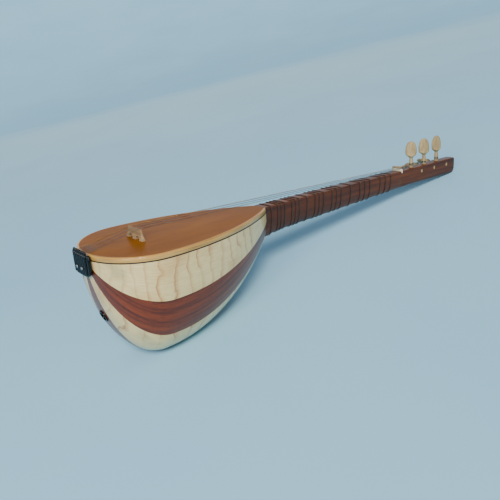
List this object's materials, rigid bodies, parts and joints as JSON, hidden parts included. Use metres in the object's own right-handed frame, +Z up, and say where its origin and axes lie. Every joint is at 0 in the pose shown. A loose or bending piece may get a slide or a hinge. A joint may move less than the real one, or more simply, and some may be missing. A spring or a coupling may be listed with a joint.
{
  "type": "long-neck lute",
  "caption": "Small bowl-backed long-neck lute: staved bowl, flat soundboard, deep neck with tied frets, paddle-headed friction pegs, paired strings, floating bridge and comb tailpiece.",
  "frame": {"origin": "on the ground, under the middle of the instrument's bounding box, as it lies on its back on its belly and the end of its head", "axes": "+X towards the head, +Y towards the side the side pegs stand on, +Z up; the soundboard leans down towards the head by 11.1 degrees"},
  "size_m": [0.72, 0.17, 0.1703],
  "materials": {
    "pale_rib": "gloss lacquer",
    "brown_rib": "gloss lacquer",
    "soundboard": "gloss lacquer",
    "binding": "satin lacquer",
    "dark_strip": "satin",
    "inside_wood": "raw",
    "neck_wood": "satin lacquer",
    "peg_wood": "raw, sanded",
    "bridge_wood": "raw, sanded",
    "black_plastic": "polished",
    "nut": "polished",
    "fret_nylon": "drawn line",
    "string_steel": "drawn wire",
    "screw_steel": "plated"
  },
  "bodies": {
    "body": {"rib_1": "pale_rib", "rib_2": "brown_rib", "rib_3": "pale_rib", "rib_4": "brown_rib", "rib_5": "pale_rib", "rib_6": "brown_rib", "rib_7": "pale_rib", "sound_hole_ring": "black_plastic", "tail_block": "inside_wood", "neck_block": "inside_wood", "lining_right": "inside_wood", "lining_left": "inside_wood", "soundboard_brace_1": "inside_wood", "soundboard_brace_2": "inside_wood", "soundboard": "soundboard", "edge_binding": "binding", "edge_purfling": "dark_strip", "neck_joint_veneer": "dark_strip", "neck": "neck_wood", "headstock": "neck_wood", "nut": "nut", "tailpiece": "black_plastic", "tailpiece_screw_1": "screw_steel", "tailpiece_screw_2": "screw_steel", "string_1": "string_steel", "string_2": "string_steel", "string_3": "string_steel", "string_4": "string_steel", "string_5": "string_steel", "string_6": "string_steel"},
    "front_peg_1": {"front_peg_1": "peg_wood"},
    "front_peg_2": {"front_peg_2": "peg_wood"},
    "front_peg_3": {"front_peg_3": "peg_wood"},
    "side_peg_1": {"side_peg_1": "peg_wood"},
    "side_peg_2": {"side_peg_2": "peg_wood"},
    "side_peg_3": {"side_peg_3": "peg_wood"},
    "bridge": {"bridge": "bridge_wood"},
    "fret_01": {"fret_01": "fret_nylon"},
    "fret_02": {"fret_02": "fret_nylon"},
    "fret_03": {"fret_03": "fret_nylon"},
    "fret_04": {"fret_04": "fret_nylon"},
    "fret_05": {"fret_05": "fret_nylon"},
    "fret_06": {"fret_06": "fret_nylon"},
    "fret_07": {"fret_07": "fret_nylon"},
    "fret_08": {"fret_08": "fret_nylon"},
    "fret_09": {"fret_09": "fret_nylon"},
    "fret_10": {"fret_10": "fret_nylon"},
    "fret_11": {"fret_11": "fret_nylon"},
    "fret_12": {"fret_12": "fret_nylon"},
    "fret_13": {"fret_13": "fret_nylon"},
    "fret_14": {"fret_14": "fret_nylon"},
    "fret_15": {"fret_15": "fret_nylon"},
    "fret_16": {"fret_16": "fret_nylon"},
    "fret_17": {"fret_17": "fret_nylon"},
    "fret_18": {"fret_18": "fret_nylon"},
    "fret_19": {"fret_19": "fret_nylon"},
    "fret_20": {"fret_20": "fret_nylon"},
    "fret_21": {"fret_21": "fret_nylon"}
  },
  "joints": [
    {"name": "front_peg_1_turn", "type": "hinge", "parent": "body", "child": "front_peg_1", "pos_m": [0.25013, 0, 0.04768], "axis": [0.1924, 0, 0.9813], "continuous": true},
    {"name": "front_peg_2_turn", "type": "hinge", "parent": "body", "child": "front_peg_2", "pos_m": [0.28448, 0, 0.04094], "axis": [0.1924, 0, 0.9813], "continuous": true},
    {"name": "front_peg_3_turn", "type": "hinge", "parent": "body", "child": "front_peg_3", "pos_m": [0.31883, 0, 0.03421], "axis": [0.1924, 0, 0.9813], "continuous": true},
    {"name": "side_peg_1_turn", "type": "hinge", "parent": "body", "child": "side_peg_1", "pos_m": [0.26567, 0.01, 0.03597], "axis": [0, 1, 0], "continuous": true},
    {"name": "side_peg_2_turn", "type": "hinge", "parent": "body", "child": "side_peg_2", "pos_m": [0.30002, 0.01, 0.02924], "axis": [0, 1, 0], "continuous": true},
    {"name": "side_peg_3_turn", "type": "hinge", "parent": "body", "child": "side_peg_3", "pos_m": [0.33437, 0.01, 0.0225], "axis": [0, 1, 0], "continuous": true},
    {"name": "bridge_shift", "type": "slide", "parent": "body", "child": "bridge", "axis": [0.9813, 0, -0.1924], "range_m": [0, 0.004]},
    {"name": "fret_01_shift", "type": "slide", "parent": "body", "child": "fret_01", "axis": [0.9813, 0, -0.1924], "range_m": [-0.002, 0.002]},
    {"name": "fret_02_shift", "type": "slide", "parent": "body", "child": "fret_02", "axis": [0.9813, 0, -0.1924], "range_m": [-0.002, 0.002]},
    {"name": "fret_03_shift", "type": "slide", "parent": "body", "child": "fret_03", "axis": [0.9813, 0, -0.1924], "range_m": [-0.002, 0.002]},
    {"name": "fret_04_shift", "type": "slide", "parent": "body", "child": "fret_04", "axis": [0.9813, 0, -0.1924], "range_m": [-0.002, 0.002]},
    {"name": "fret_05_shift", "type": "slide", "parent": "body", "child": "fret_05", "axis": [0.9813, 0, -0.1924], "range_m": [-0.002, 0.002]},
    {"name": "fret_06_shift", "type": "slide", "parent": "body", "child": "fret_06", "axis": [0.9813, 0, -0.1924], "range_m": [-0.002, 0.002]},
    {"name": "fret_07_shift", "type": "slide", "parent": "body", "child": "fret_07", "axis": [0.9813, 0, -0.1924], "range_m": [-0.002, 0.002]},
    {"name": "fret_08_shift", "type": "slide", "parent": "body", "child": "fret_08", "axis": [0.9813, 0, -0.1924], "range_m": [-0.002, 0.002]},
    {"name": "fret_09_shift", "type": "slide", "parent": "body", "child": "fret_09", "axis": [0.9813, 0, -0.1924], "range_m": [-0.002, 0.002]},
    {"name": "fret_10_shift", "type": "slide", "parent": "body", "child": "fret_10", "axis": [0.9813, 0, -0.1924], "range_m": [-0.002, 0.002]},
    {"name": "fret_11_shift", "type": "slide", "parent": "body", "child": "fret_11", "axis": [0.9813, 0, -0.1924], "range_m": [-0.002, 0.002]},
    {"name": "fret_12_shift", "type": "slide", "parent": "body", "child": "fret_12", "axis": [0.9813, 0, -0.1924], "range_m": [-0.002, 0.002]},
    {"name": "fret_13_shift", "type": "slide", "parent": "body", "child": "fret_13", "axis": [0.9813, 0, -0.1924], "range_m": [-0.002, 0.002]},
    {"name": "fret_14_shift", "type": "slide", "parent": "body", "child": "fret_14", "axis": [0.9813, 0, -0.1924], "range_m": [-0.002, 0.002]},
    {"name": "fret_15_shift", "type": "slide", "parent": "body", "child": "fret_15", "axis": [0.9813, 0, -0.1924], "range_m": [-0.002, 0.002]},
    {"name": "fret_16_shift", "type": "slide", "parent": "body", "child": "fret_16", "axis": [0.9813, 0, -0.1924], "range_m": [-0.002, 0.002]},
    {"name": "fret_17_shift", "type": "slide", "parent": "body", "child": "fret_17", "axis": [0.9813, 0, -0.1924], "range_m": [-0.002, 0.002]},
    {"name": "fret_18_shift", "type": "slide", "parent": "body", "child": "fret_18", "axis": [0.9813, 0, -0.1924], "range_m": [-0.002, 0.002]},
    {"name": "fret_19_shift", "type": "slide", "parent": "body", "child": "fret_19", "axis": [0.9813, 0, -0.1924], "range_m": [-0.002, 0.002]},
    {"name": "fret_20_shift", "type": "slide", "parent": "body", "child": "fret_20", "axis": [0.9813, 0, -0.1924], "range_m": [-0.002, 0.002]},
    {"name": "fret_21_shift", "type": "slide", "parent": "body", "child": "fret_21", "axis": [0.9813, 0, -0.1924], "range_m": [-0.002, 0.002]}
  ]
}
